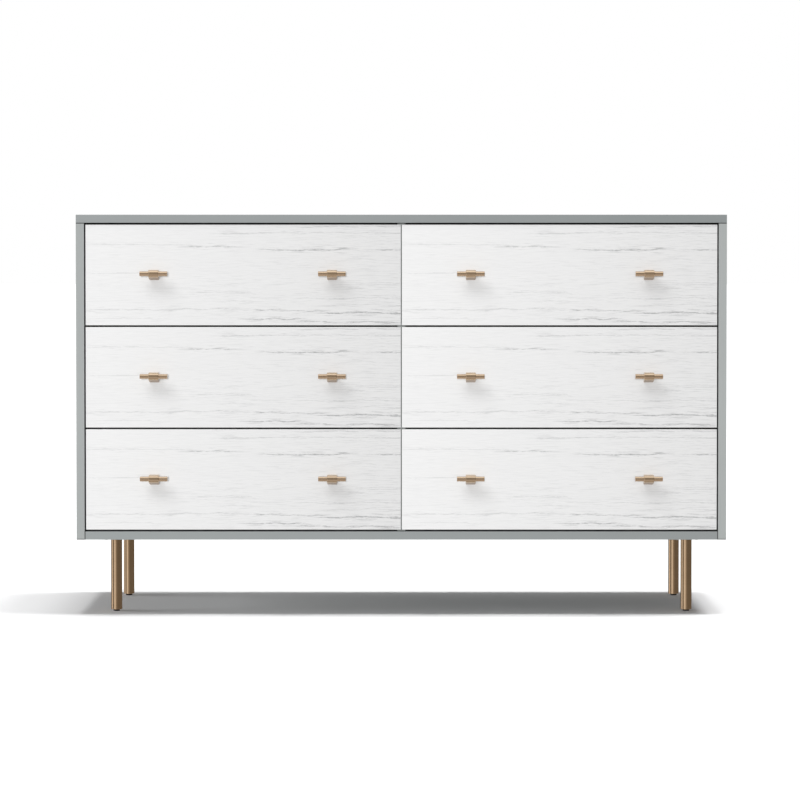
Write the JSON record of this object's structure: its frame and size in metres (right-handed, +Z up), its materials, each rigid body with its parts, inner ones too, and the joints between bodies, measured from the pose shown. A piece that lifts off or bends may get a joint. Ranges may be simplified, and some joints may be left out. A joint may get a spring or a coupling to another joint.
{
  "type": "dresser with drawers",
  "caption": "Low wide dresser: grey flat-panel case, white-washed inset drawer fronts with T-bar knobs, on slim round bronze tube legs.",
  "frame": {"origin": "on the floor, below the middle of the whole dresser (knobs included)", "axes": "+X along the width, to the right of someone facing the drawers; the front with the drawers faces -Y; +Z up"},
  "size_m": [1.44, 0.5084, 0.886],
  "materials": {
    "grey_lacquer": "fibreboard with a satin cool grey lacquer",
    "grey_hardboard": "thin hardboard, painted grey outside",
    "whitewashed_wood": "white-washed wood grain running sideways, matt",
    "drawer_box_wood": "pale plywood with a clear matt coat",
    "champagne_bronze": "fine brushed champagne bronze",
    "zinc_plated_steel": "bright zinc plating",
    "black_nylon": "moulded black nylon, matt"
  },
  "bodies": {
    "case": {"top_panel": "grey_lacquer", "side_panel_left": "grey_lacquer", "side_panel_right": "grey_lacquer", "bottom_panel": "grey_lacquer", "centre_divider": "grey_lacquer", "back_panel": "grey_hardboard", "cabinet_runners": "zinc_plated_steel", "leg_screws": "zinc_plated_steel", "leg_inserts": "black_nylon", "leg_front_left": "champagne_bronze", "leg_front_right": "champagne_bronze", "leg_back_left": "champagne_bronze", "leg_back_right": "champagne_bronze"},
    "left_lower_drawer": {"left_lower_front": "whitewashed_wood", "left_lower_sides": "drawer_box_wood", "left_lower_back": "drawer_box_wood", "left_lower_base": "drawer_box_wood", "left_lower_knobs": "champagne_bronze", "left_lower_drawer_runners": "zinc_plated_steel"},
    "left_lower_slide_carriage": {"left_lower_middle_runners": "zinc_plated_steel"},
    "left_middle_drawer": {"left_middle_front": "whitewashed_wood", "left_middle_sides": "drawer_box_wood", "left_middle_back": "drawer_box_wood", "left_middle_base": "drawer_box_wood", "left_middle_knobs": "champagne_bronze", "left_middle_drawer_runners": "zinc_plated_steel"},
    "left_middle_slide_carriage": {"left_middle_middle_runners": "zinc_plated_steel"},
    "left_upper_drawer": {"left_upper_front": "whitewashed_wood", "left_upper_sides": "drawer_box_wood", "left_upper_back": "drawer_box_wood", "left_upper_base": "drawer_box_wood", "left_upper_knobs": "champagne_bronze", "left_upper_drawer_runners": "zinc_plated_steel"},
    "left_upper_slide_carriage": {"left_upper_middle_runners": "zinc_plated_steel"},
    "right_lower_drawer": {"right_lower_front": "whitewashed_wood", "right_lower_sides": "drawer_box_wood", "right_lower_back": "drawer_box_wood", "right_lower_base": "drawer_box_wood", "right_lower_knobs": "champagne_bronze", "right_lower_drawer_runners": "zinc_plated_steel"},
    "right_lower_slide_carriage": {"right_lower_middle_runners": "zinc_plated_steel"},
    "right_middle_drawer": {"right_middle_front": "whitewashed_wood", "right_middle_sides": "drawer_box_wood", "right_middle_back": "drawer_box_wood", "right_middle_base": "drawer_box_wood", "right_middle_knobs": "champagne_bronze", "right_middle_drawer_runners": "zinc_plated_steel"},
    "right_middle_slide_carriage": {"right_middle_middle_runners": "zinc_plated_steel"},
    "right_upper_drawer": {"right_upper_front": "whitewashed_wood", "right_upper_sides": "drawer_box_wood", "right_upper_back": "drawer_box_wood", "right_upper_base": "drawer_box_wood", "right_upper_knobs": "champagne_bronze", "right_upper_drawer_runners": "zinc_plated_steel"},
    "right_upper_slide_carriage": {"right_upper_middle_runners": "zinc_plated_steel"},
    "glide_front_left": {"glide_front_left": "black_nylon"},
    "glide_front_right": {"glide_front_right": "black_nylon"},
    "glide_back_left": {"glide_back_left": "black_nylon"},
    "glide_back_right": {"glide_back_right": "black_nylon"}
  },
  "joints": [
    {"name": "left_lower_drawer_slide", "type": "slide", "parent": "case", "child": "left_lower_drawer", "axis": [0, -1, 0], "range_m": [0, 0.4]},
    {"name": "left_lower_carriage_slide", "type": "slide", "parent": "case", "child": "left_lower_slide_carriage", "axis": [0, -1, 0], "range_m": [0, 0.2]},
    {"name": "left_middle_drawer_slide", "type": "slide", "parent": "case", "child": "left_middle_drawer", "axis": [0, -1, 0], "range_m": [0, 0.4]},
    {"name": "left_middle_carriage_slide", "type": "slide", "parent": "case", "child": "left_middle_slide_carriage", "axis": [0, -1, 0], "range_m": [0, 0.2]},
    {"name": "left_upper_drawer_slide", "type": "slide", "parent": "case", "child": "left_upper_drawer", "axis": [0, -1, 0], "range_m": [0, 0.4]},
    {"name": "left_upper_carriage_slide", "type": "slide", "parent": "case", "child": "left_upper_slide_carriage", "axis": [0, -1, 0], "range_m": [0, 0.2]},
    {"name": "right_lower_drawer_slide", "type": "slide", "parent": "case", "child": "right_lower_drawer", "axis": [0, -1, 0], "range_m": [0, 0.4]},
    {"name": "right_lower_carriage_slide", "type": "slide", "parent": "case", "child": "right_lower_slide_carriage", "axis": [0, -1, 0], "range_m": [0, 0.2]},
    {"name": "right_middle_drawer_slide", "type": "slide", "parent": "case", "child": "right_middle_drawer", "axis": [0, -1, 0], "range_m": [0, 0.4]},
    {"name": "right_middle_carriage_slide", "type": "slide", "parent": "case", "child": "right_middle_slide_carriage", "axis": [0, -1, 0], "range_m": [0, 0.2]},
    {"name": "right_upper_drawer_slide", "type": "slide", "parent": "case", "child": "right_upper_drawer", "axis": [0, -1, 0], "range_m": [0, 0.4]},
    {"name": "right_upper_carriage_slide", "type": "slide", "parent": "case", "child": "right_upper_slide_carriage", "axis": [0, -1, 0], "range_m": [0, 0.2]},
    {"name": "glide_front_left_screw", "type": "slide", "parent": "case", "child": "glide_front_left", "axis": [0, 0, -1], "range_m": [0, 0.01]},
    {"name": "glide_front_right_screw", "type": "slide", "parent": "case", "child": "glide_front_right", "axis": [0, 0, -1], "range_m": [0, 0.01]},
    {"name": "glide_back_left_screw", "type": "slide", "parent": "case", "child": "glide_back_left", "axis": [0, 0, -1], "range_m": [0, 0.01]},
    {"name": "glide_back_right_screw", "type": "slide", "parent": "case", "child": "glide_back_right", "axis": [0, 0, -1], "range_m": [0, 0.01]}
  ],
  "couplings": [
    {"joint": "left_lower_carriage_slide", "follows": "left_lower_drawer_slide", "ratio": 0.5},
    {"joint": "left_middle_carriage_slide", "follows": "left_middle_drawer_slide", "ratio": 0.5},
    {"joint": "left_upper_carriage_slide", "follows": "left_upper_drawer_slide", "ratio": 0.5},
    {"joint": "right_lower_carriage_slide", "follows": "right_lower_drawer_slide", "ratio": 0.5},
    {"joint": "right_middle_carriage_slide", "follows": "right_middle_drawer_slide", "ratio": 0.5},
    {"joint": "right_upper_carriage_slide", "follows": "right_upper_drawer_slide", "ratio": 0.5}
  ]
}
